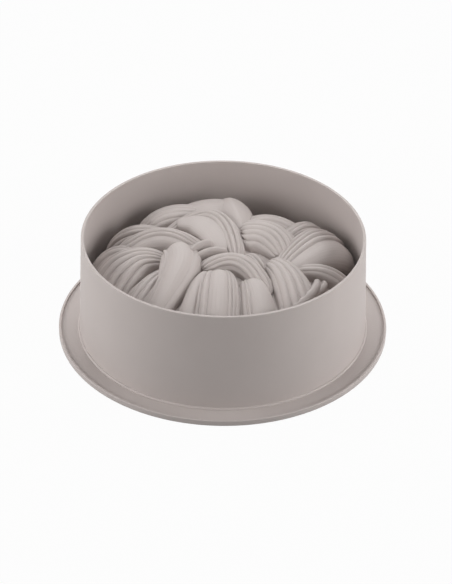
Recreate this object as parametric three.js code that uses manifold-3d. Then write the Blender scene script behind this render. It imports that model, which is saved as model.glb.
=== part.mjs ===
// A silicone cake mould whose cavity is shaped like a pile of plaited skeins, upside down on its brim.
//
// The mould is one flexible moulding. It is divided along its moulded features: the brim and the raised lip
// round its edge, the skirt and the collar at its foot, the shell of the cake cavity, and each skein of the
// relief. Millimetres, +Z up, origin at the centre of the face that it stands on, front towards -Y.

import * as THREE from "three";
import { mergeVertices } from "three/addons/utils/BufferGeometryUtils.js";
import Module from "manifold-3d";

// Cake cavity: its mouth opens downwards, in the plane of the brim's underside.
const CAVITY_RADIUS = 87.5;
const CAVITY_DEPTH = 54.5;
const CAVITY_WALL = 2.5;
const CROWN_RADIUS = 400;
const SHOULDER_RADIUS = 28;

// Skirt: the round wall about the cavity, on whose rim the mould stands in use.
const MOAT_WIDTH = 7.9;
const SKIRT_WALL = 2.1;
const SKIRT_SPREAD = 2.6;
const RIM_RISE = 21.6;
const RIM_BEVEL = 0.55;

// Collar: the small step at the foot of the skirt.
const COLLAR_WIDTH = 1.2;
const COLLAR_HEIGHT = 1.4;
const COLLAR_BEVEL = 0.6;

// Brim: the flat ring that joins the skirt to the cavity, with a raised lip round its edge.
const BRIM_WIDTH = 14.9;
const BRIM_THICKNESS = 3.2;
const BRIM_BEVEL = 0.6;
const LIP_WIDTH = 1.9;
const LIP_HEIGHT = 1.45;
const LIP_BEVEL = 0.45;

// Relief: the skeins lie on the cavity's shell, which swells up into the high ones, so that the cavity has
// them in reverse. Low and narrow skeins are filled.
const SEAT_GAP = 0.3;
const SKEIN_SKIN = 1.0;
const SWELL_GAP = 0.6;
const SWELL_WALL = 1.6;
const SWELL_LEAST_HALF_WIDTH = 8;
const SWELL_LEAST_HEIGHT = 10;
const SKEIN_EDGE = 0.9;
const SKEIN_GAP = 0.3;
const SKIRT_CLEARANCE = 1.2;
const ARCH_FULLNESS = 2.5;
const FOLD_FULLNESS = 1.5;
const END_FULLNESS = 0.9;
const END_BLUNTNESS = 0.08;

// How finely round shapes are divided.
const RING_SIDES = 48;
const CROWN_STEPS = 2;
const SHOULDER_STEPS = 5;
const SKEIN_DIVISION = { step: 10.5, fewestSteps: 5, sides: 6 };
const SWELL_DIVISION = { step: 22, fewestSteps: 4, sides: 4 };

// Steps of the skeins' plan below, along a run over the dome from its top to its foot.
const PLAN_STEPS = 126.9;

// Each skein's middle line passes through three places on the dome: its start, its middle and its end. A
// place is flattened on to a plan: x to the right, y to the back, and its distance from the middle is the run
// over the dome. The three places come first, then the half widths at them, then the heights over the shell,
// all in steps of the plan, which are millimetres as the part is drawn. A fold has a fullness of its own at
// the end. The list goes from the bottom of the pile to its top: a skein makes way for those after it.
const SKEINS = [
  ["back_ledge", [[-40, 64], [-14, 76], [18, 74]], [9, 13, 8], [5, 9.5, 5]],
  ["back_side_left", [[-34, 74], [-37, 93], [-38, 112]], [9, 13, 15], [4, 6, 5]],
  ["back_side_right", [[28, 62], [34, 87], [37, 112]], [8, 13, 15], [3, 6, 5]],
  ["left_back_side", [[-60, 48], [-78, 59], [-96, 68]], [9, 13, 15], [4, 6, 5]],
  ["left_mid_side", [[-78, 26], [-96, 30], [-113, 32]], [9, 12, 13], [4, 6, 5]],
  ["back_left", [[-57, 47], [-36, 58], [0, 63]], [9, 13, 8], [4, 9, 4]],
  ["back_knob", [[14, 32], [7, 62], [-4, 116]], [9, 15, 16], [6, 12, 6], FOLD_FULLNESS],
  ["right_back_low", [[14, 46], [34, 53], [58, 40]], [6, 8, 6], [4, 8, 4]],
  ["left_side", [[-64, 12], [-86, 12], [-117, -6]], [6, 11, 15], [5, 10, 5]],
  ["right_low", [[44, -14], [76, -14], [111, -33]], [5, 9, 14], [4, 10.5, 6]],
  ["left_low", [[-38, -18], [-56, -42], [-79, -87]], [5, 10, 14], [4, 8.5, 5]],
  ["left_upper", [[-42, 40], [-67, 36], [-94, 36]], [6, 9.5, 10], [3, 10.5, 2]],
  ["right_back", [[43, 30], [62, 52], [90, 78]], [6, 8.5, 12], [4, 9.5, 5]],
  ["centre_thread", [[16, 3], [21, -5], [28, -16]], [3.5, 4.5, 3.5], [4, 9, 6]],
  ["right_centre", [[13, 31], [31, 24], [43, 2]], [17, 18, 9], [8.5, 11.5, 5]],
  ["left_arch", [[-78, 9], [-44, 25], [-11, 7]], [9, 11.5, 8], [4, 12, 4]],
  ["left_fan", [[-40, -7], [-68, -12], [-93, -58]], [11, 22, 22], [5, 12.5, 6]],
  ["right_fan", [[40, -18], [66, 18], [102, 54]], [8, 21, 24], [5, 11.8, 11.5]],
  ["crown_leaf", [[-32, 42], [-13, 32], [0, 4]], [5, 11, 7], [7, 10.5, 6]],
  ["crown_arch", [[-32, 40], [-5, 46], [9, 0]], [6, 8, 7], [6, 12.5, 5]],
  ["finger_upper", [[-24, 1], [-16, 7], [-8, 12]], [2, 2.4, 2], [8, 11.5, 9]],
  ["finger_lower", [[-20, -3], [-9, 3], [3, 4]], [2.2, 2.6, 2.2], [8, 11, 8.5]],
  ["centre_arch", [[-15, -14], [12, -10], [31, -42]], [7, 8.5, 7], [5, 10.5, 5]],
  ["right_front", [[32, -4], [49, -35], [57, -99]], [8, 14.5, 15], [6, 11.5, 5]],
  ["right_front_tail", [[69, -21], [68, -29], [61, -40]], [2.4, 2.8, 2.6], [6, 9, 7.5]],
  ["right_front_tuft", [[65, -22], [60.5, -38.5], [47, -57]], [2.8, 3.2, 3.2], [7, 10.5, 9.5]],
  ["front_left_fold", [[-12, -20], [-22, -50], [-36, -112]], [5, 8, 13], [5, 8.5, 5]],
  ["front_left", [[-34, 13], [-31.5, -27], [-57, -104]], [14, 16.5, 8], [7, 12.5, 6]],
  ["front_centre", [[-4, -18], [-4, -54], [-8, -117]], [10, 16.5, 16], [6, 11.5, 5]],
  ["front_right", [[19, -27], [26, -58], [31, -113]], [8, 14, 15], [6, 10, 5]],
];

// Matt taupe silicone, a little lighter where the relief catches the light.
const RING_COLOUR = 0xb2a8a4;
const SKEIN_COLOUR = 0xbab0ab;
const ROUGHNESS = 0.62;

// Sizes that follow from those above.
const domeRadius = CAVITY_RADIUS + CAVITY_WALL;
const domeTop = CAVITY_DEPTH + CAVITY_WALL;
const rimHeight = domeTop + RIM_RISE;
const skirtRimInner = domeRadius + MOAT_WIDTH;
const skirtFootInner = skirtRimInner + SKIRT_SPREAD;
const collarRadius = skirtFootInner + SKIRT_WALL + COLLAR_WIDTH;
const brimRadius = skirtFootInner + SKIRT_WALL + BRIM_WIDTH;

const wasm = await Module();
wasm.setup();

// Dome of the cavity's shell: a shallow crown, a round shoulder and an upright side.
const shoulderCentreRadius = domeRadius - SHOULDER_RADIUS;
const shoulderStart = Math.asin(shoulderCentreRadius / (CROWN_RADIUS - SHOULDER_RADIUS));
const crownCentreHeight = domeTop - CROWN_RADIUS;
const shoulderCentreHeight = crownCentreHeight + (CROWN_RADIUS - SHOULDER_RADIUS) * Math.cos(shoulderStart);
const crownRun = CROWN_RADIUS * shoulderStart;
const sideRun = crownRun + SHOULDER_RADIUS * (Math.PI / 2 - shoulderStart);
const domeRun = sideRun + shoulderCentreHeight - BRIM_THICKNESS;

/** Radius of the skirt's inner face at a height. */
function skirtInnerRadius(height) {
  const share = (height - BRIM_THICKNESS) / (rimHeight - BRIM_THICKNESS);
  return skirtFootInner + (skirtRimInner - skirtFootInner) * share;
}

/** Radius and height of the point a run down the dome from its top, lifted off the shell's outer face. */
function domePoint(run, lift) {
  if (run < crownRun) {
    const angle = run / CROWN_RADIUS;
    const reach = CROWN_RADIUS + lift;
    return { radius: reach * Math.sin(angle), height: crownCentreHeight + reach * Math.cos(angle) };
  }
  if (run < sideRun) {
    const angle = shoulderStart + (run - crownRun) / SHOULDER_RADIUS;
    const reach = SHOULDER_RADIUS + lift;
    return {
      radius: shoulderCentreRadius + reach * Math.sin(angle),
      height: shoulderCentreHeight + reach * Math.cos(angle),
    };
  }
  return { radius: domeRadius + lift, height: shoulderCentreHeight - (run - sideRun) };
}

/** The point over a place of the flattened plan, kept clear of the skirt by a clearance. */
function reliefPoint(x, y, lift, clearance) {
  const { radius, height } = domePoint(Math.hypot(x, y), lift);
  const reach = Math.min(radius, skirtInnerRadius(height) - clearance);
  const bearing = Math.atan2(y, x);
  return new THREE.Vector3(reach * Math.cos(bearing), reach * Math.sin(bearing), height);
}

/** A solid ring or cup: a profile of [radius, height] points turned about the Z axis. */
function turned(profile) {
  const points = profile.map(([radius, height]) => new THREE.Vector2(radius, height));
  return new THREE.LatheGeometry(points, RING_SIDES).rotateX(Math.PI / 2);
}

/** A closed profile: its first point comes again at the end. */
function closed(profile) {
  return [...profile, profile[0]];
}

/** A mesh with a material of its own. */
function piece(name, geometry, colour) {
  const material = new THREE.MeshStandardMaterial({ color: colour, roughness: ROUGHNESS, metalness: 0 });
  const mesh = new THREE.Mesh(geometry, material);
  mesh.name = name;
  return mesh;
}

/** The flat ring round the cavity's mouth. */
function brim() {
  const profile = closed([
    [CAVITY_RADIUS, 0],
    [brimRadius - BRIM_BEVEL, 0],
    [brimRadius, BRIM_BEVEL],
    [brimRadius, BRIM_THICKNESS],
    [CAVITY_RADIUS, BRIM_THICKNESS],
  ]);
  return piece("brim", turned(profile), RING_COLOUR);
}

/** The raised lip along the edge of the brim. */
function brimLip() {
  const inner = brimRadius - LIP_WIDTH;
  const profile = closed([
    [inner, 0],
    [brimRadius, 0],
    [brimRadius, LIP_HEIGHT - LIP_BEVEL],
    [brimRadius - LIP_BEVEL, LIP_HEIGHT],
    [inner + LIP_BEVEL, LIP_HEIGHT],
    [inner, LIP_HEIGHT - LIP_BEVEL],
  ]);
  const ring = piece("brim_lip", turned(profile), RING_COLOUR);
  ring.position.z = BRIM_THICKNESS;
  return ring;
}

/** The drafted wall, wider at its foot, with a bevelled rim. */
function skirt() {
  const height = rimHeight - BRIM_THICKNESS;
  const profile = closed([
    [skirtFootInner, 0],
    [skirtFootInner + SKIRT_WALL, 0],
    [skirtRimInner + SKIRT_WALL, height - RIM_BEVEL],
    [skirtRimInner + SKIRT_WALL - RIM_BEVEL, height],
    [skirtRimInner + RIM_BEVEL, height],
    [skirtRimInner, height - RIM_BEVEL],
  ]);
  const wall = piece("skirt", turned(profile), RING_COLOUR);
  wall.position.z = BRIM_THICKNESS;
  return wall;
}

/** The small step outside the skirt's foot, clear of the wall by the gap between pieces. */
function skirtCollar() {
  const lean = (SKIRT_SPREAD * COLLAR_HEIGHT) / (rimHeight - BRIM_THICKNESS);
  const inner = skirtFootInner + SKIRT_WALL + SKEIN_GAP;
  const profile = closed([
    [inner, 0],
    [collarRadius, 0],
    [collarRadius, COLLAR_HEIGHT - COLLAR_BEVEL],
    [collarRadius - COLLAR_BEVEL, COLLAR_HEIGHT],
    [inner - lean, COLLAR_HEIGHT],
  ]);
  const ring = piece("skirt_collar", turned(profile), RING_COLOUR);
  ring.position.z = BRIM_THICKNESS;
  return ring;
}

/** Runs down the dome at which its profile has points. */
function domeRuns() {
  const crown = Array.from({ length: CROWN_STEPS }, (_, i) => (crownRun * i) / CROWN_STEPS);
  const shoulder = Array.from(
    { length: SHOULDER_STEPS + 1 },
    (_, i) => crownRun + ((sideRun - crownRun) * i) / SHOULDER_STEPS,
  );
  return [...crown, ...shoulder, domeRun];
}

/** Profile of the dome from its top to its foot, lifted off the shell's outer face. */
function domeProfile(lift) {
  return domeRuns().map((run) => {
    const { radius, height } = domePoint(run, lift);
    return [radius, height];
  });
}

/** The dome as a filled block with its foot on the brim, lifted off the shell's outer face. */
function domeBlock(lift) {
  return solid(turned([[0, BRIM_THICKNESS], ...domeProfile(lift).reverse()]));
}

/** The same block, reaching down to the floor. */
function deepDomeBlock(lift) {
  return solid(turned([[0, 0], [domeRadius + lift, 0], ...domeProfile(lift).reverse()]));
}

/** Whether the shell swells up into a skein. */
function hasSwell([, , [, halfWidth], [, height]]) {
  return halfWidth >= SWELL_LEAST_HALF_WIDTH && height >= SWELL_LEAST_HEIGHT;
}

/** A block of the dome joined with its swells, which are the skeins an inset smaller all round. */
function swollen(block, inset) {
  const swells = SKEINS.filter(hasSwell).map((skein) => lofted(skeinRings(skein, -inset, SWELL_DIVISION)));
  return swells.reduce((sum, swell) => sum.add(solid(swell)), block);
}

/** The cup of the cake cavity, mouth down, with its foot on the brim and the relief in reverse inside. */
function cavityShell(seat) {
  const outer = swollen(domeBlock(0), SKEIN_SKIN + SWELL_GAP).intersect(seat);
  const inner = swollen(deepDomeBlock(-CAVITY_WALL), SKEIN_SKIN + SWELL_GAP + SWELL_WALL);
  return piece("cavity_shell", largestBody(outer.subtract(inner)), RING_COLOUR);
}

/** What the skeins are seated on: the dome and its swells, with the seat's gap round them. */
function seatBlock() {
  return swollen(deepDomeBlock(SEAT_GAP), SKEIN_SKIN);
}

/** Value at a share of the way along three values that it meets at the start, the middle and the end. */
function through(values, share) {
  const [start, middle, end] = values;
  const left = 1 - share;
  return start * left * (1 - 2 * share) + 4 * middle * share * left + end * share * (2 * share - 1);
}

/** Slope of the same curve. */
function slopeThrough(values, share) {
  const [start, middle, end] = values;
  return start * (4 * share - 3) + 4 * middle * (1 - 2 * share) + end * (4 * share - 1);
}

/** Quarter of an oval of a fullness: 0 at 0, rising steeply, level at 1. */
function oval(share, fullness) {
  const rest = 1 - Math.min(Math.max(share, 0), 1);
  return (1 - rest ** fullness) ** (1 / fullness);
}

/** Rings of a grown skein, each a loop of points: over its arch from left to right, then back under it. */
function skeinRings([, path, halfWidths, heights, fullness = ARCH_FULLNESS], growth, division) {
  const scale = domeRun / PLAN_STEPS;
  const xs = path.map(([x]) => x * scale);
  const ys = path.map(([, y]) => y * scale);
  const length = Math.hypot(xs[1] - xs[0], ys[1] - ys[0]) + Math.hypot(xs[2] - xs[1], ys[2] - ys[1]);
  const steps = Math.max(division.fewestSteps, Math.round(length / division.step));
  const inset = Math.min(growth, 0);
  const root = inset - CAVITY_WALL;
  const clearance = SKIRT_CLEARANCE - growth;
  const endShare = END_FULLNESS / length;
  return Array.from({ length: steps + 1 }, (_, i) => {
    const share = 0.5 - 0.5 * Math.cos((Math.PI * i) / steps);
    const fullHalf = through(halfWidths, share) * scale;
    const fromStart = oval(share / (endShare * fullHalf) + END_BLUNTNESS, ARCH_FULLNESS);
    const fromEnd = oval((1 - share) / (endShare * fullHalf) + END_BLUNTNESS, ARCH_FULLNESS);
    const roundness = fromStart * fromEnd;
    const half = (fullHalf + inset) * roundness + growth - inset;
    const height = through(heights, share) * scale * Math.sqrt(roundness) + growth;
    const dx = slopeThrough(xs, share);
    const dy = slopeThrough(ys, share);
    const pace = Math.hypot(dx, dy);
    const push = (share - 0.5) * 2 * growth;
    const at = (offset, lift) =>
      reliefPoint(
        through(xs, share) + (-dy * offset * half + dx * push) / pace,
        through(ys, share) + (dx * offset * half + dy * push) / pace,
        lift,
        clearance,
      );
    const offsets = Array.from(
      { length: division.sides + 1 },
      (_, k) => -Math.cos((Math.PI * k) / division.sides),
    );
    const arch = offsets.map((offset) =>
      at(offset, Math.max(height * oval(1 - Math.abs(offset), fullness), SKEIN_EDGE + growth)),
    );
    const base = offsets.map((offset) => at(offset, root)).reverse();
    return [...arch, ...base];
  });
}

/** A closed solid through rings of equally many points, with a flat cap at either end. */
function lofted(rings) {
  const count = rings[0].length;
  const positions = rings.flat().flatMap((point) => point.toArray());
  const faces = [];
  for (let i = 0; i + 1 < rings.length; i++) {
    for (let k = 0; k < count; k++) {
      const a = i * count + k;
      const b = i * count + ((k + 1) % count);
      faces.push(a, a + count, b, b, a + count, b + count);
    }
  }
  const last = (rings.length - 1) * count;
  const half = count / 2;
  for (let k = 0; k + 1 < half; k++) {
    const back = count - 1 - k;
    faces.push(k, k + 1, back, k + 1, back - 1, back);
    faces.push(last + k, last + back, last + k + 1, last + k + 1, last + back, last + back - 1);
  }
  const geometry = new THREE.BufferGeometry();
  geometry.setAttribute("position", new THREE.Float32BufferAttribute(positions, 3));
  geometry.setIndex(faces);
  return geometry;
}

/** A geometry as a solid that can be cut. */
function solid(geometry) {
  const bare = new THREE.BufferGeometry();
  bare.setAttribute("position", geometry.getAttribute("position"));
  bare.setIndex(geometry.getIndex());
  const merged = mergeVertices(bare);
  const mesh = new wasm.Mesh({
    numProp: 3,
    vertProperties: merged.attributes.position.array,
    triVerts: new Uint32Array(merged.index.array),
  });
  return new wasm.Manifold(mesh);
}

/** The largest body of a cut solid, as a geometry. */
function largestBody(cut) {
  const { vertProperties, triVerts } = cut.getMesh();
  const owner = Array.from({ length: vertProperties.length / 3 }, (_, i) => i);
  const rootOf = (i) => {
    while (owner[i] !== i) {
      owner[i] = owner[owner[i]];
      i = owner[i];
    }
    return i;
  };
  for (let t = 0; t < triVerts.length; t += 3) {
    owner[rootOf(triVerts[t])] = rootOf(triVerts[t + 1]);
    owner[rootOf(triVerts[t + 1])] = rootOf(triVerts[t + 2]);
  }
  const bodies = new Map();
  for (let t = 0; t < triVerts.length; t += 3) {
    const body = rootOf(triVerts[t]);
    if (!bodies.has(body)) bodies.set(body, []);
    bodies.get(body).push(triVerts[t], triVerts[t + 1], triVerts[t + 2]);
  }
  const largest = [...bodies.values()].sort((one, other) => other.length - one.length)[0];
  const geometry = new THREE.BufferGeometry();
  geometry.setAttribute("position", new THREE.Float32BufferAttribute(vertProperties, 3));
  geometry.setIndex(largest);
  const loose = geometry.toNonIndexed();
  loose.computeVertexNormals();
  return loose;
}

/** Every skein of the relief, each cut back from those that lie over it. */
function relief(seat) {
  const group = new THREE.Group();
  const whole = SKEINS.map((skein) => solid(lofted(skeinRings(skein, 0, SKEIN_DIVISION))).subtract(seat));
  const grown = SKEINS.map((skein) => solid(lofted(skeinRings(skein, SKEIN_GAP, SKEIN_DIVISION))));
  SKEINS.forEach(([name], i) => {
    const cut = grown.slice(i + 1).reduce((rest, over) => rest.subtract(over), whole[i]);
    group.add(piece(`skein_${name}`, largestBody(cut), SKEIN_COLOUR));
  });
  return group;
}

const mould = new THREE.Group();
const seat = seatBlock();
mould.add(brim(), brimLip(), skirt(), skirtCollar(), cavityShell(seat), relief(seat));

export default mould;
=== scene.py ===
"""Looks of a silicone cake mould with a plaited relief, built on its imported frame.

The mould stands upside down on its brim. Its rings are profiles turned about the vertical axis. The relief
is a pile of skeins, each a bundle of cords laid over the dome of the cake cavity, and the cup of the cavity
follows the pile from below at one wall's thickness. Lengths are in metres, and a name that ends in _mm holds
millimetres.
"""

import logging
import math
from dataclasses import dataclass, field
from enum import Enum
from typing import Any, Callable

import bpy
import numpy as np
from mathutils import Matrix, Vector


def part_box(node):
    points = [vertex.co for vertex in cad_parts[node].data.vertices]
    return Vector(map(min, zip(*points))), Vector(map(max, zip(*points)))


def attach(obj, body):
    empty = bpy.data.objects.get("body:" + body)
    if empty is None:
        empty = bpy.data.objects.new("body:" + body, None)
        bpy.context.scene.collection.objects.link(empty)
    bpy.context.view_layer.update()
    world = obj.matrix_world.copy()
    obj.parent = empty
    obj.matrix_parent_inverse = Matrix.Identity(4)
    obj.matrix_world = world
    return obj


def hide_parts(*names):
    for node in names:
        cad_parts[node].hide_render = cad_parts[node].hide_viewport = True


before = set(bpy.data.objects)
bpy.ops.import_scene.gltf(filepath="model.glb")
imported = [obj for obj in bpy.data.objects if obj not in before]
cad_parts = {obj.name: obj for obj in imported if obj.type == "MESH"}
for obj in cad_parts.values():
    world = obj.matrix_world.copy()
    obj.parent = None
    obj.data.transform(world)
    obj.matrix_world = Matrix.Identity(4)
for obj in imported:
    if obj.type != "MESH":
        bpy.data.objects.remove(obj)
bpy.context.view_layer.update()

Array = np.ndarray
Colour = tuple[float, float, float, float]
Corners = list[tuple[float, float]]
Triple = tuple[float, float, float]
LOG = logging.getLogger("cake_mould")
MM = 0.001
TINY = 1e-15
BODY = "root"
LAY_MAP = "lay"
WHITE: Colour = (1.0, 1.0, 1.0, 1.0)
BLACK: Colour = (0.0, 0.0, 0.0, 1.0)

# Places of the colour sockets on a Mix node
MIX_COLOUR_A = 6
MIX_COLOUR_B = 7
MIX_COLOUR_RESULT = 2

# Fineness of the rings
RING_SIDES = 320
ARC_STEPS = 7
FLAT_GUARD = 0.3 * MM
FLAT_GUARD_SHARE = 0.25

# Sizes that the frame's boxes don't give
CAVITY_WALL = 2.5 * MM
SKIRT_WALL = 2.1 * MM
SKIRT_RIM_RADIUS = 100.0 * MM
MOAT_WIDTH = 7.9 * MM
RIM_RISE = 21.6 * MM


# Shader expressions

class Value:
    """A shader socket that can stand in sums, as a number does."""

    def __init__(self, shader: "Shader", socket: bpy.types.NodeSocket) -> None:
        """Keeps the socket and the shader that it belongs to."""
        self.shader = shader
        self.socket = socket

    def _math(self, operation: str, first: Any, second: Any) -> "Value":
        """Adds one Math node on two values."""
        return self.shader.node("ShaderNodeMath", {"operation": operation}, {0: first, 1: second})

    def __add__(self, other: Any) -> "Value":
        """Sum."""
        return self._math("ADD", self, other)

    def __mul__(self, other: Any) -> "Value":
        """Product."""
        return self._math("MULTIPLY", self, other)

    __radd__ = __add__
    __rmul__ = __mul__


class Shader:
    """A node tree whose nodes are added by expressions."""

    def __init__(self, owner: Any) -> None:
        """Empties the node tree of a material or a world.

        Args:
            owner: The material or world.
        """
        owner.use_nodes = True
        self.tree = owner.node_tree
        self.tree.nodes.clear()

    def node(self, kind: str, settings: dict[str, Any], sockets: dict[Any, Any], output: Any = 0) -> Value:
        """Adds a node, sets it and feeds its sockets.

        Args:
            kind: Blender's name of the node's type.
            settings: Attributes of the node, set before its sockets are fed.
            sockets: Numbers, colours or values for its inputs, by name or place.
            output: Name or place of the output that is returned.

        Returns:
            The node's output.
        """
        made = self.tree.nodes.new(kind)
        for key, setting in settings.items():
            setattr(made, key, setting)
        for key, fed in sockets.items():
            if isinstance(fed, Value):
                self.tree.links.new(fed.socket, made.inputs[key])
            else:
                made.inputs[key].default_value = fed
        return Value(self, made.outputs[output] if made.outputs else None)

    def background_rays(self) -> Value:
        """Tells the rays that show the background: from the camera, off gloss and through glass.

        Returns:
            One on those rays, and nought on the others.
        """
        seen = self.node("ShaderNodeLightPath", {}, {}, "Is Camera Ray")
        path = seen.socket.node.outputs
        return seen + Value(self, path["Is Glossy Ray"]) + Value(self, path["Is Transmission Ray"])


# Finishes

class Grain(Enum):
    """What the mould's tool left on a surface."""

    POLISHED = "polished"
    STRANDED = "stranded"


@dataclass(frozen=True)
class Silicone:
    """Matt taupe silicone rubber, faintly mottled.

    The colour drifts a little over patches of a few centimetres. The surface has a fine grain, and on the
    skeins fine lines that run with the strands, read from the piece's own UV map: metres along and metres
    across.
    """

    name: str
    grain: Grain
    pale: Colour = (0.490, 0.438, 0.419, 1.0)
    deep: Colour = (0.440, 0.392, 0.374, 1.0)
    roughness: float = 0.58
    roughness_drift: float = 0.10
    sheen: float = 0.10
    index_of_refraction: float = 1.41
    patch_scale: float = 38.0
    patch_share: float = 0.75
    noise_detail: float = 2.0
    grain_scale: float = 900.0
    grain_depth: float = 0.35
    line_scale: Triple = (14.0, 760.0, 1.0)
    line_depth: float = 0.4
    bump_distance: float = 0.12 * MM

    def material(self) -> bpy.types.Material:
        """Builds the material.

        Returns:
            A material for pieces of this finish.
        """
        made = bpy.data.materials.new(self.name)
        shader = Shader(made)
        place = shader.node("ShaderNodeTexCoord", {}, {}, "Object")
        patches = self._noise(shader, place, self.patch_scale)
        specks = self._noise(shader, place, self.grain_scale)
        drift = patches * self.patch_share + specks * (1 - self.patch_share)
        mixed = {"Factor": drift, MIX_COLOUR_A: self.deep, MIX_COLOUR_B: self.pale}
        colour = shader.node("ShaderNodeMix", {"data_type": "RGBA"}, mixed, MIX_COLOUR_RESULT)
        rough = patches * self.roughness_drift + (self.roughness - self.roughness_drift / 2)
        height = specks * self.grain_depth
        if self.grain is Grain.STRANDED:
            height = height + self._lines(shader) * self.line_depth
        bump = shader.node("ShaderNodeBump", {}, {"Height": height, "Distance": self.bump_distance})
        surface = shader.node("ShaderNodeBsdfPrincipled", {}, {
            "Base Color": colour,
            "Roughness": rough,
            "Normal": bump,
            "IOR": self.index_of_refraction,
            "Sheen Weight": self.sheen,
        })
        shader.node("ShaderNodeOutputMaterial", {}, {"Surface": surface})
        return made

    def _noise(self, shader: Shader, place: Value, scale: float) -> Value:
        """Cloudy noise at a place."""
        sockets = {"Vector": place, "Scale": scale, "Detail": self.noise_detail}
        return shader.node("ShaderNodeTexNoise", {}, sockets, "Fac")

    def _lines(self, shader: Shader) -> Value:
        """Fine lines along a skein: noise that is drawn out along it.

        Args:
            shader: The material's shader.

        Returns:
            Height of the lines.
        """
        run = shader.node("ShaderNodeUVMap", {"uv_map": LAY_MAP}, {})
        drawn = shader.node("ShaderNodeMapping", {}, {"Vector": run, "Scale": self.line_scale})
        return self._noise(shader, drawn, 1.0)


# Meshes from grids of points

def wrapped_quads(rows: int, columns: int, close_rows: bool, close_columns: bool) -> Array:
    """Quads of a grid whose points are numbered row by row.

    Args:
        rows: Number of rows.
        columns: Number of columns.
        close_rows: Whether the last row joins the first.
        close_columns: Whether the last column joins the first.

    Returns:
        Point numbers, four to a quad. It turns left where rows go up and columns go left.
    """
    row = np.arange(rows if close_rows else rows - 1)[:, None]
    column = np.arange(columns if close_columns else columns - 1)[None, :]
    next_row = (row + 1) % rows
    next_column = (column + 1) % columns
    corners = [row * columns + column, next_row * columns + column]
    corners += [next_row * columns + next_column, row * columns + next_column]
    return np.stack(corners, axis=-1).reshape(-1, 4)


def make_piece(name: str, node: str, points: Array, faces: list[list[int]], finish: bpy.types.Material,
               lay: Array | None = None) -> None:
    """Makes a piece from points and faces, smooth, riding on the mould in place of its CAD node.

    Args:
        name: The piece's name.
        node: The CAD node that it stands for.
        points: Places of its points, one row each.
        faces: Point numbers of each face, turning left when seen from outside.
        finish: Its material.
        lay: Map coordinates of each point, or none.
    """
    mesh = bpy.data.meshes.new(name)
    mesh.from_pydata(points.tolist(), [], faces)
    mesh.polygons.foreach_set("use_smooth", np.ones(len(mesh.polygons), bool))
    if lay is not None:
        corner_points = np.empty(len(mesh.loops), np.int32)
        mesh.loops.foreach_get("vertex_index", corner_points)
        layer = mesh.uv_layers.new(name=LAY_MAP)
        layer.data.foreach_set("uv", lay[corner_points].astype(np.float32).ravel())
    mesh.materials.append(finish)
    mesh.update()
    made = bpy.data.objects.new(name, mesh)
    bpy.context.scene.collection.objects.link(made)
    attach(made, BODY)
    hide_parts(node)
    LOG.info("%s stands for %s, %d faces", name, node, len(faces))


def rounded_profile(corners: Corners, radii: list[float], steps: int = ARC_STEPS) -> Array:
    """A closed outline whose corners are arcs.

    Each corner is cut where a circle of its radius touches both sides, and the arc of that circle joins the
    two touching points. A further point just before and after each arc keeps the flats shaded flat.

    Args:
        corners: Corner points, as radius and height, counterclockwise round the outline.
        radii: Radius of the arc at each corner.
        steps: Parts of each arc.

    Returns:
        Points of the outline, as radius and height.
    """
    outline = []
    points = np.array(corners, float)
    for i, radius in enumerate(radii):
        corner = points[i]
        before = points[i - 1] - corner
        after = points[(i + 1) % len(points)] - corner
        room = min(np.linalg.norm(before), np.linalg.norm(after))
        before = before / np.linalg.norm(before)
        after = after / np.linalg.norm(after)
        half = math.acos(float(np.clip(before @ after, -1.0, 1.0))) / 2
        reach = radius / math.tan(half)
        middle = before + after
        centre = corner + middle / np.linalg.norm(middle) * radius / math.sin(half)
        start = corner + before * reach - centre
        end = corner + after * reach - centre
        first = math.atan2(start[1], start[0])
        sweep = (math.atan2(end[1], end[0]) - first + math.pi) % (2 * math.pi) - math.pi
        angle = first + sweep * np.linspace(0.0, 1.0, steps + 1)
        arc = centre + radius * np.stack([np.cos(angle), np.sin(angle)], axis=-1)
        guard = min(FLAT_GUARD, (room - reach) * FLAT_GUARD_SHARE)
        outline += [arc[:1] + before * guard, arc, arc[-1:] + after * guard]
    return np.concatenate(outline)


def turned_ring(profile: Array, sides: int = RING_SIDES) -> tuple[Array, list[list[int]]]:
    """A ring: a closed profile turned about the vertical axis.

    A point at radius r and height h of the profile goes to (r cos a, r sin a, h) at each angle a.

    Args:
        profile: Points of the closed outline, counterclockwise, as radius and height.
        sides: Parts of a full turn.

    Returns:
        Points and faces.
    """
    angle = np.linspace(0.0, 2 * math.pi, sides, endpoint=False)[:, None]
    radius = profile[None, :, 0]
    height = np.broadcast_to(profile[None, :, 1], (sides, len(profile)))
    points = np.stack([radius * np.cos(angle), radius * np.sin(angle), height], axis=-1).reshape(-1, 3)
    return points, wrapped_quads(sides, len(profile), True, True).tolist()


def make_ring(name: str, node: str, corners: Corners, radii: list[float],
              finish: bpy.types.Material) -> None:
    """Makes a ring: an outline with rounded corners, turned about the vertical axis."""
    make_piece(name, node, *turned_ring(rounded_profile(corners, radii)), finish)


def band(inner: float, outer: float, low: float, high: float) -> Corners:
    """Corners of a band's upright section, counterclockwise from the inner low one."""
    return [(inner, low), (outer, low), (outer, high), (inner, high)]


# Rings

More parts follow.
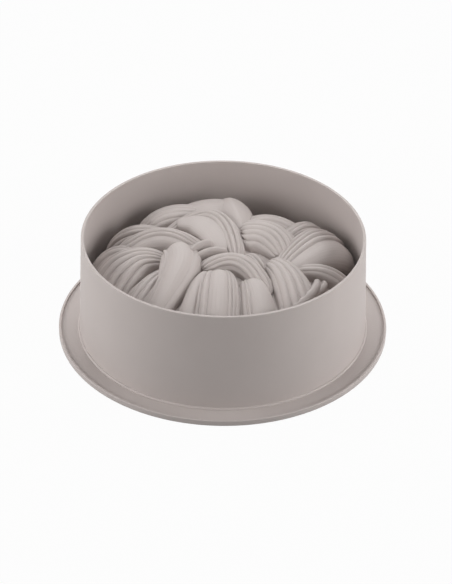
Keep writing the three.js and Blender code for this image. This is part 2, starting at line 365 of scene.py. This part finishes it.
@dataclass
class Brim:
    """The flat ring round the cavity's mouth, with a raised lip along its edge."""

    finish: bpy.types.Material
    mouth: float
    edge_round: float = 1.2 * MM
    mouth_round: float = 0.9 * MM
    buried_round: float = 0.1 * MM
    lip_width: float = 1.9 * MM
    lip_inner_round: float = 0.35 * MM
    lip_outer_round: float = 0.7 * MM
    lip_sink: float = 1.1 * MM
    lip_bed_round: float = 1.0 * MM

    def build(self) -> None:
        """Makes the ring and its lip."""
        low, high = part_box("brim")
        corners = band(self.mouth, high.x, low.z, high.z)
        radii = [self.mouth_round, self.edge_round, self.lip_bed_round, self.buried_round]
        make_ring("brim_ring", "brim", corners, radii, self.finish)
        self.build_lip(high.z - self.lip_sink)

    def build_lip(self, foot: float) -> None:
        """Makes the lip.

        Args:
            foot: Height of its foot, a little way into the ring.
        """
        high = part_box("brim_lip")[1]
        corners = band(high.x - self.lip_width, high.x, foot, high.z)
        radii = [self.buried_round, self.buried_round, self.lip_outer_round, self.lip_inner_round]
        make_ring("brim_edge_lip", "brim_lip", corners, radii, self.finish)


@dataclass
class Skirt:
    """The plain wall round the relief, a little wider at its foot, and the bead at its foot."""

    finish: bpy.types.Material
    rim_round: float = 0.45 * MM
    buried_round: float = 0.1 * MM
    bead_round: float = 1.15 * MM
    sink: float = 0.4 * MM

    def build(self) -> None:
        """Makes the wall and the bead."""
        low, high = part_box("skirt")
        rim = SKIRT_RIM_RADIUS
        foot = low.z - self.sink
        corners = [(high.x - SKIRT_WALL, foot), (high.x, foot), (rim, high.z), (rim - SKIRT_WALL, high.z)]
        radii = [self.buried_round, self.buried_round, self.rim_round, self.rim_round]
        make_ring("skirt_wall", "skirt", corners, radii, self.finish)
        self.build_bead(high.x - SKIRT_WALL / 2, foot)

    def build_bead(self, inner: float, foot: float) -> None:
        """Makes the bead, its inner side buried in the wall.

        Args:
            inner: Radius of the middle of the wall at its foot.
            foot: Height of the buried foot.
        """
        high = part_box("skirt_collar")[1]
        corners = band(inner, high.x, foot, high.z)
        radii = [self.buried_round, self.buried_round, self.bead_round, self.buried_round]
        make_ring("foot_bead", "skirt_collar", corners, radii, self.finish)


# The dome and what lies on it

@dataclass(frozen=True)
class Dome:
    """The outer face of the cavity's shell: a shallow crown, a round shoulder and an upright side.

    Its flattened plan has x to the right and y to the back, and a place's distance from the middle is its run
    over the dome from the top.
    """

    radius: float
    top: float
    foot: float
    crown_radius: float = 400.0 * MM
    shoulder_radius: float = 28.0 * MM
    skirt_clearance: float = 0.8 * MM

    @property
    def shoulder_ring(self) -> float:
        """Radius of the ring on which the shoulder's centre lies."""
        return self.radius - self.shoulder_radius

    @property
    def shoulder_start(self) -> float:
        """Angle off the vertical at which the crown meets the shoulder."""
        return math.asin(self.shoulder_ring / (self.crown_radius - self.shoulder_radius))

    @property
    def crown_height(self) -> float:
        """Height of the crown's centre."""
        return self.top - self.crown_radius

    @property
    def shoulder_height(self) -> float:
        """Height of the shoulder's centre."""
        return self.crown_height + (self.crown_radius - self.shoulder_radius) * math.cos(self.shoulder_start)

    @property
    def crown_run(self) -> float:
        """Run from the top to the shoulder."""
        return self.crown_radius * self.shoulder_start

    @property
    def side_run(self) -> float:
        """Run from the top to the upright side."""
        return self.crown_run + self.shoulder_radius * (math.pi / 2 - self.shoulder_start)

    @property
    def foot_run(self) -> float:
        """Run from the top to the foot."""
        return self.side_run + self.shoulder_height - self.foot

    def place(self, x: Array, y: Array, lift: Array) -> Array:
        """Lays places of the plan on the dome.

        On the crown and the shoulder the run is an arc about that part's centre, and on the side it goes
        straight down. The lift is along the dome's own normal.

        Args:
            x: Distance to the right on the plan.
            y: Distance to the back on the plan.
            lift: Distance off the dome.

        Returns:
            Places in space.
        """
        run = np.hypot(x, y)
        bearing = np.arctan2(y, x)
        crown = run < self.crown_run
        over = self.shoulder_start + (run - self.crown_run) / self.shoulder_radius
        angle = np.where(crown, run / self.crown_radius, np.clip(over, self.shoulder_start, math.pi / 2))
        reach = np.where(crown, self.crown_radius, self.shoulder_radius) + lift
        radius = np.where(crown, 0.0, self.shoulder_ring) + reach * np.sin(angle)
        past = np.maximum(run - self.side_run, 0.0)
        height = np.where(crown, self.crown_height, self.shoulder_height) + reach * np.cos(angle) - past
        return np.stack([radius * np.cos(bearing), radius * np.sin(bearing), height], axis=-1)

    def room(self, x: Array, y: Array) -> Array:
        """Room over places of the plan, up to a clearance from the skirt.

        A lift from the shoulder reaches outwards by its length times the sine of its angle off the vertical,
        so the room is the distance to the skirt divided by that sine.

        Args:
            x: Distance to the right on the plan.
            y: Distance to the back on the plan.

        Returns:
            The highest lift at each place.
        """
        over = self.shoulder_start + (np.hypot(x, y) - self.crown_run) / self.shoulder_radius
        slant = np.sin(np.clip(over, self.shoulder_start, math.pi / 2))
        reach = self.radius + MOAT_WIDTH - self.skirt_clearance - self.shoulder_ring
        return reach / slant - self.shoulder_radius

    def flatten(self, points: Array) -> tuple[Array, Array, Array]:
        """Finds the plan's places and the lifts of points in space, the other way round from place.

        Args:
            points: Places in space.

        Returns:
            Distances to the right and to the back on the plan, and off the dome.
        """
        radius = np.hypot(points[..., 0], points[..., 1])
        bearing = np.arctan2(points[..., 1], points[..., 0])
        up = points[..., 2] - self.crown_height
        out = radius - self.shoulder_ring
        above = points[..., 2] - self.shoulder_height
        crown_angle = np.arctan2(radius, up)
        crown = crown_angle < self.shoulder_start
        side = above < 0
        shoulder_run = self.crown_run + self.shoulder_radius * (np.arctan2(out, above) - self.shoulder_start)
        outer_run = np.where(side, self.side_run - above, shoulder_run)
        run = np.where(crown, self.crown_radius * crown_angle, outer_run)
        shoulder_lift = np.where(side, out, np.hypot(out, above)) - self.shoulder_radius
        lift = np.where(crown, np.hypot(radius, up) - self.crown_radius, shoulder_lift)
        return run * np.cos(bearing), run * np.sin(bearing), lift


def through(values: Triple | Array, share: Array) -> Array:
    """The parabola that meets three values at the start, the middle and the end of the way.

    Args:
        values: The three values.
        share: Shares of the way.

    Returns:
        The parabola's value at each share.
    """
    start, middle, end = values
    near = start * (1 - share) * (1 - 2 * share)
    far = end * share * (2 * share - 1)
    return near + 4 * middle * share * (1 - share) + far


def slope_through(values: Triple | Array, share: Array) -> Array:
    """Slope, against the share of the way, of the parabola that meets three values."""
    start, middle, end = values
    return start * (4 * share - 3) + 4 * middle * (1 - 2 * share) + end * (4 * share - 1)


def oval(share: Array, fullness: float) -> Array:
    """Quarter of an oval: 0 at 0, rising steeply, level at 1 and after."""
    rest = 1 - np.clip(share, 0.0, 1.0)
    return (1 - rest ** fullness) ** (1 / fullness)


@dataclass(frozen=True)
class Face:
    """A skein's upper face on the dome's plan, with its map coordinates."""

    x: Array
    y: Array
    lift: Array
    lay: Array


@dataclass(frozen=True)
class Skein:
    """One skein of the relief: a bundle of cords along a line on the dome.

    The line passes through three places of the dome's flattened plan, in millimetres. Half widths and heights
    are given at the same three places, in millimetres too. The cords' widths are shares, from the right of
    the line to its left.
    """

    name: str
    path: tuple[tuple[float, float], ...]
    half_widths: Triple
    heights: Triple
    cords: tuple[float, ...]
    fullness: float = 2.5
    groove_share: float = 0.6
    flank_share: float = 0.5
    groove_most_mm: float = 2.2
    thin_groove_share: float = 0.4
    end_groove_rise: float = 2.0
    end_reach: float = 0.8
    end_limits: tuple[float, float] = (0.02, 0.35)
    end_fullness: float = 2.4
    end_blunt: float = 0.002
    end_crowding: float = 0.8
    end_rows: int = 24
    along_pitch_mm: float = 0.8
    across_pitch_mm: float = 0.36
    arch_samples: int = 721
    length_samples: int = 201
    strand_waves_mm: tuple[float, ...] = (2.4, 1.6, 1.0)
    strand_depths_mm: tuple[float, ...] = (0.04, 0.03, 0.015)
    strand_drift: float = 1.3
    strand_drift_turns: float = 0.8
    strand_swell: float = 0.3
    strand_swell_pace: float = 5.0

    def arch(self, angle: Array) -> tuple[Array, Array]:
        """Section of the skein, one wide and one high: an oval drawn towards a square by its fullness."""
        power = 2 / self.fullness
        return np.sign(angle) * np.abs(np.sin(angle)) ** power, np.abs(np.cos(angle)) ** power

    def section(self) -> tuple[Array, Array, Array]:
        """Points across the skein, evenly spaced along its middle section, and the depth of its grooves.

        Across a cord the surface sinks from its crest as a parabola does, by a share of the narrower of the
        two neighbours where they meet. A cord's width is measured on the skein's plan, and by the flank share
        along its arch.

        Returns:
            Angle over the arch, and distance along the arch and depth of the grooves in millimetres, at each
            point.
        """
        dense = np.linspace(-math.pi / 2, math.pi / 2, self.arch_samples)
        side, rise = self.arch(dense)
        steps = np.hypot(np.diff(side) * self.half_widths[1], np.diff(rise) * self.heights[1])
        length = np.concatenate([[0.0], np.cumsum(steps)])
        across = np.linspace(0.0, length[-1], int(length[-1] / self.across_pitch_mm) + 2)
        angle = np.interp(across, length, dense)
        seen = (self.arch(angle)[0] + 1) * (1 - self.flank_share)
        plan = (seen + 2 * across / length[-1] * self.flank_share) * self.half_widths[1]
        widths = np.array(self.cords, float) / sum(self.cords) * 2 * self.half_widths[1]
        edges = np.concatenate([[0.0], np.cumsum(widths)])
        cord = np.clip(np.searchsorted(edges, plan, side="right") - 1, 0, len(widths) - 1)
        local = (plan - edges[cord]) / widths[cord] * 2 - 1
        padded = np.concatenate([[0.0], widths, [0.0]])
        neighbour = np.where(local < 0, padded[cord], padded[cord + 2])
        depth = np.minimum(self.groove_share * np.minimum(widths[cord], neighbour), self.groove_most_mm)
        return angle, across, depth * local ** 2

    def strands(self, share: Array, across: Array, seed: int) -> Array:
        """Fine strands: a few waves across the skein, which drift sideways and swell a little along it.

        Args:
            share: Shares of the way along.
            across: Distance along the arch, in millimetres.
            seed: Number that sets the waves' phases.

        Returns:
            Depth in millimetres.
        """
        draws = np.random.default_rng(seed)
        depth = np.zeros((len(share), len(across)))
        for wave, most in zip(self.strand_waves_mm, self.strand_depths_mm):
            phase, bend, swell = draws.uniform(0.0, 2 * math.pi, 3)
            drift = self.strand_drift * np.sin(2 * math.pi * share * self.strand_drift_turns + bend)
            turn = 2 * math.pi * across[None, :] / wave + phase + drift
            swelling = np.sin(self.strand_swell_pace * share + swell)
            depth += most * (1 - self.strand_swell + self.strand_swell * swelling) * np.sin(turn)
        return depth

    def face(self, dome: Dome, seed: int) -> Face:
        """The skein's upper face.

        At a share of the way along and an angle of the arch the body's point lies to the side of the line by
        the half width times the arch's side, and above the dome by the height times the arch's rise. At both
        ends the width closes in a quarter oval, and the height as that oval's square root. Rows crowd towards
        the ends. Grooves and strands then sink the surface along its own normal.

        Args:
            dome: The dome that it lies on.
            seed: Number that sets its strands.

        Returns:
            The face.
        """
        angle, across, groove = self.section()
        path = np.array(self.path).T * MM
        even = np.linspace(0.0, 1.0, self.length_samples)
        length = float(np.mean(np.hypot(slope_through(path[0], even), slope_through(path[1], even))))
        even = np.linspace(0.0, 1.0, int(length / MM / self.along_pitch_mm) + self.end_rows)[:, None]
        share = even - self.end_crowding * np.sin(2 * math.pi * even) / (2 * math.pi)
        way_x = slope_through(path[0], share)
        way_y = slope_through(path[1], share)
        pace = np.hypot(way_x, way_y)
        full = through(self.half_widths, share) * MM
        end = np.clip(self.end_reach * full / length, *self.end_limits)
        opening = oval(share / end + self.end_blunt, self.end_fullness)
        closing = opening * oval((1 - share) / end + self.end_blunt, self.end_fullness)
        side, rise = self.arch(angle[None, :])
        sideways = full * closing * side
        lift = through(self.heights, share) * MM * closing ** 0.5 * rise
        x = through(path[0], share) - way_y / pace * sideways
        y = through(path[1], share) + way_x / pace * sideways
        body = dome.place(x, y, np.minimum(lift, dome.room(x, y)))
        normal = np.cross(np.gradient(body, axis=0), np.gradient(body, axis=1))
        normal /= np.linalg.norm(normal, axis=-1, keepdims=True) + TINY
        fade = np.clip(full / max(self.half_widths) / MM, self.thin_groove_share, 1.0)
        fade = fade * np.clip(self.end_groove_rise * closing, 0.0, 1.0)
        sink = (groove[None, :] + self.strands(share, across, seed)) * fade * MM
        lay = np.stack(np.broadcast_arrays(share * length, across[None, :] * MM), axis=-1)
        return Face(*dome.flatten(body - normal * sink[..., None]), lay)


# Each skein's name, path, half widths, heights and cords, from the lower skeins to the upper ones
SKEINS = (
    Skein("back_ledge", ((-36, 62), (-10, 71), (14, 69)), (12, 19, 14), (5, 10.8, 6),
          (1,), fullness=2.0),
    Skein("back_side_left", ((-34, 74), (-37, 93), (-38, 112)), (9, 13, 15), (4, 6, 5),
          (3,) * 6),
    Skein("back_side_right", ((32, 80), (35, 96), (37, 112)), (8, 12, 15), (2, 5, 5),
          (3,) * 6),
    Skein("left_back_side", ((-60, 48), (-78, 59), (-96, 68)), (9, 13, 15), (4, 6, 5),
          (3,) * 6),
    Skein("left_mid_side", ((-78, 26), (-96, 30), (-113, 32)), (9, 12, 13), (4, 6, 5),
          (3,) * 5),
    Skein("back_left", ((-58, 50), (-36, 62), (0, 61)), (9, 13, 8), (5, 11, 3),
          (3, 3, 3, 3, 3.4, 3.4, 4), groove_most_mm=0.8),
    Skein("back_knob", ((14, 32), (7, 62), (-4, 116)), (9, 15, 16), (6, 12, 6),
          (1,), fullness=1.5),
    Skein("right_back_low", ((14, 46), (34, 53), (58, 40)), (6, 8, 6), (4, 8, 4),
          (3, 3, 3, 4), groove_most_mm=0.6),
    Skein("left_side", ((-64, 12), (-86, 12), (-117, -6)), (6, 11, 15), (5, 10, 5),
          (3,) * 4, groove_most_mm=1.2),
    Skein("right_low", ((44, -14), (76, -12.5), (111, -27)), (5, 8, 11), (4, 10.5, 6),
          (3,) * 4, groove_most_mm=1.4),
    Skein("left_low", ((-39, -16), (-55, -39), (-77, -85)), (6, 10, 14), (4, 8.5, 3),
          (4, 3.4, 3.4, 4)),
    Skein("left_upper", ((-42, 40), (-67, 36), (-94, 36)), (6, 9.5, 10), (3, 10.5, 2),
          (3,) * 5, groove_most_mm=2.0),
    Skein("right_back", ((43, 30), (62, 52), (90, 78)), (6, 8.5, 12), (4, 9.5, 5),
          (3, 2.6, 2.6, 3), groove_most_mm=1.4),
    Skein("centre_thread", ((16, 3), (21, -5), (28, -16)), (3.5, 4.5, 3.5), (4, 9, 6),
          (2, 2)),
    Skein("right_centre", ((11, 31.5), (33, 25.5), (44, 3)), (17, 18.5, 9), (8.5, 11.5, 5),
          (4,) * 7, groove_most_mm=1.8, end_reach=0.3),
    Skein("left_arch", ((-78, 10), (-45, 25.5), (-13, 6)), (9, 12, 7), (4, 12, 4),
          (8, 3.4, 3.4, 3.4, 3.4, 3.4), fullness=1.8, groove_most_mm=1.7),
    Skein("left_fan", ((-40, -1.5), (-70, -9), (-94, -56)), (6, 18.5, 20), (5, 12.6, 4),
          (4, 5, 5, 5, 5, 5, 5), groove_most_mm=2.6),
    Skein("right_fan", ((40, -18), (66, 18), (102, 54)), (8, 21, 24), (5, 11.8, 11.5),
          (22, 5, 4.5, 4, 4, 4), groove_most_mm=2.0),
    Skein("crown_leaf", ((-34, 42.5), (-12, 37), (0, 6)), (5, 14, 6.5), (7, 9.6, 5),
          (1,), fullness=4.0),
    Skein("crown_arch", ((-41, 38), (-7, 48.5), (9, 0)), (4, 8.5, 7), (4, 12.3, 5),
          (3, 3, 3, 3, 4), groove_most_mm=1.7),
    Skein("finger_upper", ((-24, 1), (-16, 7), (-8, 12)), (2, 2.4, 2), (8, 11.5, 9),
          (1,)),
    Skein("finger_lower", ((-20, -3), (-9, 3), (3, 4)), (2.2, 2.6, 2.2), (6.5, 8.8, 7),
          (1,)),
    Skein("centre_arch", ((-15, -14), (12, -10), (31, -42)), (7, 8.5, 7), (5, 10.5, 5),
          (3, 3, 3, 3.4, 3, 3), groove_most_mm=1.6, flank_share=0.8),
    Skein("right_front", ((32, -4), (49, -35), (57, -99)), (8, 14.5, 15), (6, 11.5, 5),
          (4, 5, 5, 5, 5, 4), groove_most_mm=1.6),
    Skein("right_front_tail", ((69, -21), (68, -29), (61, -40)), (2.0, 2.7, 2.6), (6, 9, 7.5),
          (1,)),
    Skein("right_front_tuft", ((65, -22), (60.5, -38.5), (47, -57)), (2.5, 3.6, 3.7), (7, 11, 10.5),
          (1,)),
    Skein("front_left_fold", ((-11, -20), (-20, -47), (-30, -106)), (4, 6.5, 10), (5, 8.5, 4),
          (12, 3), groove_most_mm=0.8),
    Skein("front_left", ((-36, 14), (-33.5, -27), (-69, -101)), (13, 13.8, 1.2), (7, 12.7, 3),
          (3.4, 2.6, 18, 5), fullness=2.1, groove_most_mm=1.6, flank_share=0.1),
    Skein("front_centre", ((-4, -18), (-4, -54), (-8, -117)), (10, 16.5, 16), (6, 11.5, 5),
          (2.5, 2.7, 4.9, 13.6, 2.2, 3.3, 3), fullness=2.8, groove_most_mm=1.8, flank_share=0.1),
    Skein("front_right", ((18.5, -27), (24.5, -58), (29, -113)), (8, 12.3, 13), (6, 10, 5),
          (5, 3, 20), fullness=2.8, groove_most_mm=1.7, flank_share=0.1),
)


@dataclass
class PileMap:
    """Heights over the dome's plan, on a square grid.

    The top is the uppermost face at each place. The floor is the lowest top within a few millimetres of a
    place, less a little, so that a coarse face that follows it stays below every valley.
    """

    faces: list[Face]
    reach: float
    pitch: float = 0.6 * MM
    floor_cells: int = 6
    floor_cover: float = 0.8 * MM
    edge_share: float = 0.001
    top: Array = field(init=False)
    floor: Array = field(init=False)

    def __post_init__(self) -> None:
        """Works out the heights."""
        size = 2 * int(self.reach / self.pitch) + 3
        heights = np.zeros(size * size)
        for face in self.faces:
            for x, y, lift in self._with_midways(face):
                column = np.clip(np.rint((x + self.reach) / self.pitch), 0, size - 1).astype(int)
                row = np.clip(np.rint((y + self.reach) / self.pitch), 0, size - 1).astype(int)
                np.maximum.at(heights, (row * size + column).ravel(), lift.ravel())
        heights = heights.reshape(size, size)
        self.top = self._spread(self._spread(heights, np.max), np.min)
        floor = self.top
        for _ in range(self.floor_cells):
            floor = self._spread(floor, np.min)
        self.floor = np.maximum(self._spread(floor, np.mean) - self.floor_cover, 0.0)

    @staticmethod
    def _with_midways(face: Face) -> list[tuple[Array, Array, Array]]:
        """The face's points, and the points midway between its rows.

        Args:
            face: The face.

        Returns:
            Both sets of points, each as x, y and lift.
        """
        rows = (face.x, face.y, face.lift)
        midways = tuple((part[1:] + part[:-1]) / 2 for part in rows)
        return [rows, midways]

    @staticmethod
    def _spread(heights: Array, choose: Callable[..., Array]) -> Array:
        """Takes the largest, least or mean of each cell and its eight neighbours.

        Args:
            heights: A square grid of heights.
            choose: What is taken: numpy's max, min or mean.

        Returns:
            The new grid.
        """
        size = len(heights)
        padded = np.pad(heights, 1, mode="edge")
        shifts = [padded[i:i + size, j:j + size] for i in range(3) for j in range(3)]
        return choose(np.stack(shifts), axis=0)

    def read(self, heights: Array, x: Array, y: Array) -> Array:
        """Reads one of the grids at places of the plan, as a mean of the four nearest cells by nearness.

        Args:
            heights: The grid: the top or the floor.
            x: Distance to the right on the plan.
            y: Distance to the back on the plan.

        Returns:
            The height at each place.
        """
        last = len(heights) - 1 - self.edge_share
        column = np.clip((x + self.reach) / self.pitch, 0, last)
        row = np.clip((y + self.reach) / self.pitch, 0, last)
        left = column.astype(int)
        low = row.astype(int)
        right_share = column - left
        high_share = row - low
        lower = heights[low, left] * (1 - right_share) + heights[low, left + 1] * right_share
        upper = heights[low + 1, left] * (1 - right_share) + heights[low + 1, left + 1] * right_share
        return lower * (1 - high_share) + upper * high_share


@dataclass
class Relief:
    """The pile of skeins on the cavity's dome."""

    dome: Dome
    finish: bpy.types.Material
    skeins: tuple[Skein, ...] = SKEINS
    cover: float = 0.2 * MM
    root: float = 0.5 * MM
    map_margin: float = 4.0 * MM
    base_columns: int = 12
    faces: list[Face] = field(init=False)
    pile: PileMap = field(init=False)

    def __post_init__(self) -> None:
        """Works out every skein's upper face and the height of the pile."""
        self.faces = [skein.face(self.dome, seed) for seed, skein in enumerate(self.skeins)]
        self.pile = PileMap(self.faces, self.dome.foot_run + self.map_margin)

    def build(self) -> None:
        """Makes every skein."""
        for skein, face in zip(self.skeins, self.faces):
            self.build_skein(skein, face)

    def build_skein(self, skein: Skein, face: Face) -> None:
        """Makes one skein: its upper face, and a lower face rooted in the wall of the cup.

        Where the skein runs deep below its neighbours its upper face is raised to just under the pile's
        floor, out of sight, so that the whole skein stays outside the cavity.

        Args:
            skein: The skein to make.
            face: Its upper face.
        """
        floor = self.pile.read(self.pile.floor, face.x, face.y)
        top = self.dome.place(face.x, face.y, np.maximum(face.lift, floor - self.cover))
        rows, columns = floor.shape
        chosen = np.rint(np.linspace(columns - 1, 0, self.base_columns)).astype(int)
        base = self.dome.place(face.x[:, chosen], face.y[:, chosen], floor[:, chosen] - self.root)
        ring = columns + self.base_columns
        points = np.concatenate([top, base], axis=1).reshape(-1, 3)
        lay = np.concatenate([face.lay, face.lay[:, chosen]], axis=1).reshape(-1, 2)
        faces = wrapped_quads(rows, ring, False, True).tolist()
        faces.append(list(range(ring)))
        faces.append(list(range((rows - 1) * ring, rows * ring))[::-1])
        make_piece(f"strands_{skein.name}", f"skein_{skein.name}", points, faces, self.finish, lay)


@dataclass
class CakeCavity:
    """The cup of the cake cavity, mouth down, whose inside is the relief in reverse."""

    dome: Dome
    pile: PileMap
    finish: bpy.types.Material
    least_wall: float = 1.0 * MM
    sides: int = 480
    inner_steps: int = 132
    outer_steps: int = 44

    def rings(self, steps: int) -> tuple[Array, Array]:
        """Rings of the dome's plan, evenly spaced from the top down to the foot.

        Args:
            steps: Number of rings.

        Returns:
            Distances to the right and to the back on the plan, one row for each ring.
        """
        run = np.linspace(0.0, 1.0, steps + 1)[1:, None] * self.dome.foot_run
        angle = np.linspace(0.0, 2 * math.pi, self.sides, endpoint=False)[None, :]
        return run * np.cos(angle), run * np.sin(angle)

    def build(self) -> None:
        """Makes the cup.

        The outer face lies on the pile's floor. The inner one lies a wall below the pile's top, or below its
        floor by the least wall where that is lower, but never more than a wall below the dome. The foot joins
        them.
        """
        x, y = self.rings(self.outer_steps)
        outer = self.dome.place(x, y, self.pile.read(self.pile.floor, x, y))
        x, y = self.rings(self.inner_steps)
        lining = np.minimum(self.pile.read(self.pile.top, x, y) - CAVITY_WALL,
                            self.pile.read(self.pile.floor, x, y) - self.least_wall)
        inner = self.dome.place(x, y, np.maximum(lining, -CAVITY_WALL))[::-1]
        rings = np.concatenate([outer, inner])
        poles = np.stack([outer[0].mean(axis=0), inner[-1].mean(axis=0)])
        points = np.concatenate([rings.reshape(-1, 3), poles])
        faces = wrapped_quads(len(rings), self.sides, False, True).tolist()
        first = np.arange(self.sides)
        second = (first + 1) % self.sides
        last = (len(rings) - 1) * self.sides
        pole = np.full_like(first, len(points) - 2)
        faces += np.stack([first, second, pole], axis=-1).tolist()
        faces += np.stack([last + second, last + first, pole + 1], axis=-1).tolist()
        make_piece("cavity_cup", "cavity_shell", points, faces, self.finish)


# Stage

@dataclass(frozen=True)
class Softbox:
    """A flat lamp that faces a point."""

    name: str
    place: Triple
    size: tuple[float, float]
    power: float
    aim: Triple = (0.0, 0.0, 0.04)

    def build(self) -> None:
        """Hangs the lamp."""
        lamp = bpy.data.lights.new(self.name, "AREA")
        lamp.shape = "RECTANGLE"
        lamp.size, lamp.size_y = self.size
        lamp.energy = self.power
        made = bpy.data.objects.new(self.name, lamp)
        made.location = self.place
        facing = Vector(self.aim) - Vector(self.place)
        made.rotation_euler = facing.to_track_quat("-Z", "Y").to_euler()
        bpy.context.scene.collection.objects.link(made)


LAMPS = (
    Softbox("left_softbox", (-0.95, -0.05, 0.42), (0.5, 0.6), 3.5),
    Softbox("left_low_softbox", (-1.0, -0.05, 0.12), (0.6, 0.24), 1.3),
    Softbox("left_front_softbox", (-0.85, -0.6, 0.4), (0.5, 0.5), 4.5),
    Softbox("right_softbox", (1.0, 0.05, 0.42), (0.5, 0.6), 2.6),
    Softbox("right_low_softbox", (1.0, -0.05, 0.12), (0.6, 0.24), 2.3),
    Softbox("right_front_softbox", (0.85, -0.55, 0.45), (0.45, 0.5), 5.2),
    Softbox("top_softbox", (0.0, 0.3, 0.6), (0.35, 0.3), 1.5),
    Softbox("ceiling_softbox", (0.0, 0.0, 1.2), (1.5, 1.5), 3.6),
    Softbox("back_softbox", (0.0, 0.95, 0.6), (0.6, 0.5), 1.1),
    Softbox("back_low_softbox", (0.0, 1.0, 0.35), (0.8, 0.3), 1.8),
    Softbox("left_back_softbox", (-0.7, 0.7, 0.6), (0.5, 0.5), 0.6),
)


@dataclass
class Studio:
    """White floor and surround, soft lamps, and the camera at the photograph's place."""

    image_size: tuple[int, int] = (452, 584)
    sensor_mm: float = 36.0
    focal_pixels: float = 2377.0
    elevation: float = math.radians(34.69)
    roll: float = 0.01162
    distance: float = 1.6945
    target: Triple = (2.177 * MM, 0.0, 29.958 * MM)
    floor_half: float = 3.0
    floor_drop: float = 0.2 * MM
    floor_grey: float = 0.3
    floor_white_share: float = 0.97
    lamps: tuple[Softbox, ...] = LAMPS

    def build(self) -> None:
        """Sets up floor, light and camera."""
        bpy.context.scene.view_settings.view_transform = "Standard"
        self.build_floor()
        self.build_surround()
        for lamp in self.lamps:
            lamp.build()
        self.build_camera()

    def build_floor(self) -> None:
        """Makes a floor that shows white, with a faint shadow, a hair below the brim."""
        half = self.floor_half
        level = -self.floor_drop
        corners = [(-half, -half, level), (half, -half, level), (half, half, level), (-half, half, level)]
        mesh = bpy.data.meshes.new("floor")
        mesh.from_pydata(corners, [], [(0, 1, 2, 3)])
        floor = bpy.data.objects.new("floor", mesh)
        bpy.context.scene.collection.objects.link(floor)
        finish = bpy.data.materials.new("white_floor")
        shader = Shader(finish)
        grey = (self.floor_grey, self.floor_grey, self.floor_grey, 1.0)
        matt = shader.node("ShaderNodeBsdfDiffuse", {}, {"Color": grey})
        glow = shader.node("ShaderNodeEmission", {}, {"Color": WHITE, "Strength": 1.0})
        white = shader.background_rays() * self.floor_white_share
        mixed = shader.node("ShaderNodeMixShader", {}, {0: white, 1: matt, 2: glow})
        shader.node("ShaderNodeOutputMaterial", {}, {"Surface": mixed})
        mesh.materials.append(finish)

    def build_surround(self) -> None:
        """Makes a surround that shows white, also in gloss, and casts no other light."""
        world = bpy.data.worlds.new("surround")
        bpy.context.scene.world = world
        shader = Shader(world)
        dark = shader.node("ShaderNodeBackground", {}, {"Color": BLACK})
        shown = shader.node("ShaderNodeBackground", {}, {"Color": WHITE})
        mixed = shader.node("ShaderNodeMixShader", {}, {0: shader.background_rays(), 1: dark, 2: shown})
        shader.node("ShaderNodeOutputWorld", {}, {"Surface": mixed})

    def build_camera(self) -> None:
        """Sets the camera where the photograph was taken from, with its slight roll."""
        lens = bpy.data.cameras.new("camera")
        lens.sensor_fit = "AUTO"
        lens.sensor_width = self.sensor_mm
        lens.lens = self.focal_pixels * self.sensor_mm / max(self.image_size)
        made = bpy.data.objects.new("camera", lens)
        back = Vector((0.0, -math.cos(self.elevation), math.sin(self.elevation)))
        right = Vector((1.0, 0.0, 0.0))
        up = back.cross(right)
        tilted_right = right * math.cos(self.roll) + up * math.sin(self.roll)
        tilted_up = up * math.cos(self.roll) - right * math.sin(self.roll)
        turn = Matrix((tilted_right, tilted_up, back)).transposed()
        made.matrix_world = Matrix.Translation(Vector(self.target) + back * self.distance) @ turn.to_4x4()
        bpy.context.scene.collection.objects.link(made)
        bpy.context.scene.camera = made


def main() -> None:
    """Builds the mould and its stage."""
    logging.basicConfig(level=logging.INFO, format="%(name)s: %(message)s")
    smooth = Silicone("smooth_silicone", Grain.POLISHED).material()
    stranded = Silicone("stranded_silicone", Grain.STRANDED).material()
    dome = Dome(
        radius=SKIRT_RIM_RADIUS - SKIRT_WALL - MOAT_WIDTH,
        top=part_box("skirt")[1].z - RIM_RISE,
        foot=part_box("brim")[1].z)
    relief = Relief(dome, stranded)
    Brim(smooth, dome.radius - CAVITY_WALL).build()
    Skirt(smooth).build()
    CakeCavity(dome, relief.pile, smooth).build()
    relief.build()
    Studio().build()


if __name__ == "__main__":
    main()
